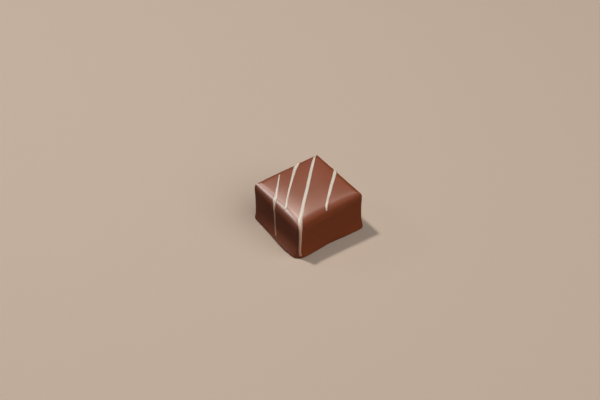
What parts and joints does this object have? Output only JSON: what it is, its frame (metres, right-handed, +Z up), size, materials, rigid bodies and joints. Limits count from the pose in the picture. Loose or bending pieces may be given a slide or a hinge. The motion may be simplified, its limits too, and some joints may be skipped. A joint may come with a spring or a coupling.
{
  "type": "chocolate praline",
  "caption": "Square milk chocolate praline with a smooth satin coat, softly rounded upper edges, a small run-out foot and thin cream drizzle lines across the top.",
  "frame": {"origin": "middle of the flat underside", "axes": "+Z up; X and Y run along the sides of the square; the long drizzle line runs from the corner at -X +Y to the corner at +X -Y and down it"},
  "size_m": [0.0264, 0.0274, 0.0155],
  "materials": {
    "milk_chocolate": "smooth tempered milk chocolate, satin gloss",
    "cream_drizzle": "set cream white chocolate, soft satin"
  },
  "bodies": {
    "root": {"praline": "milk_chocolate"}
  },
  "joints": []
}
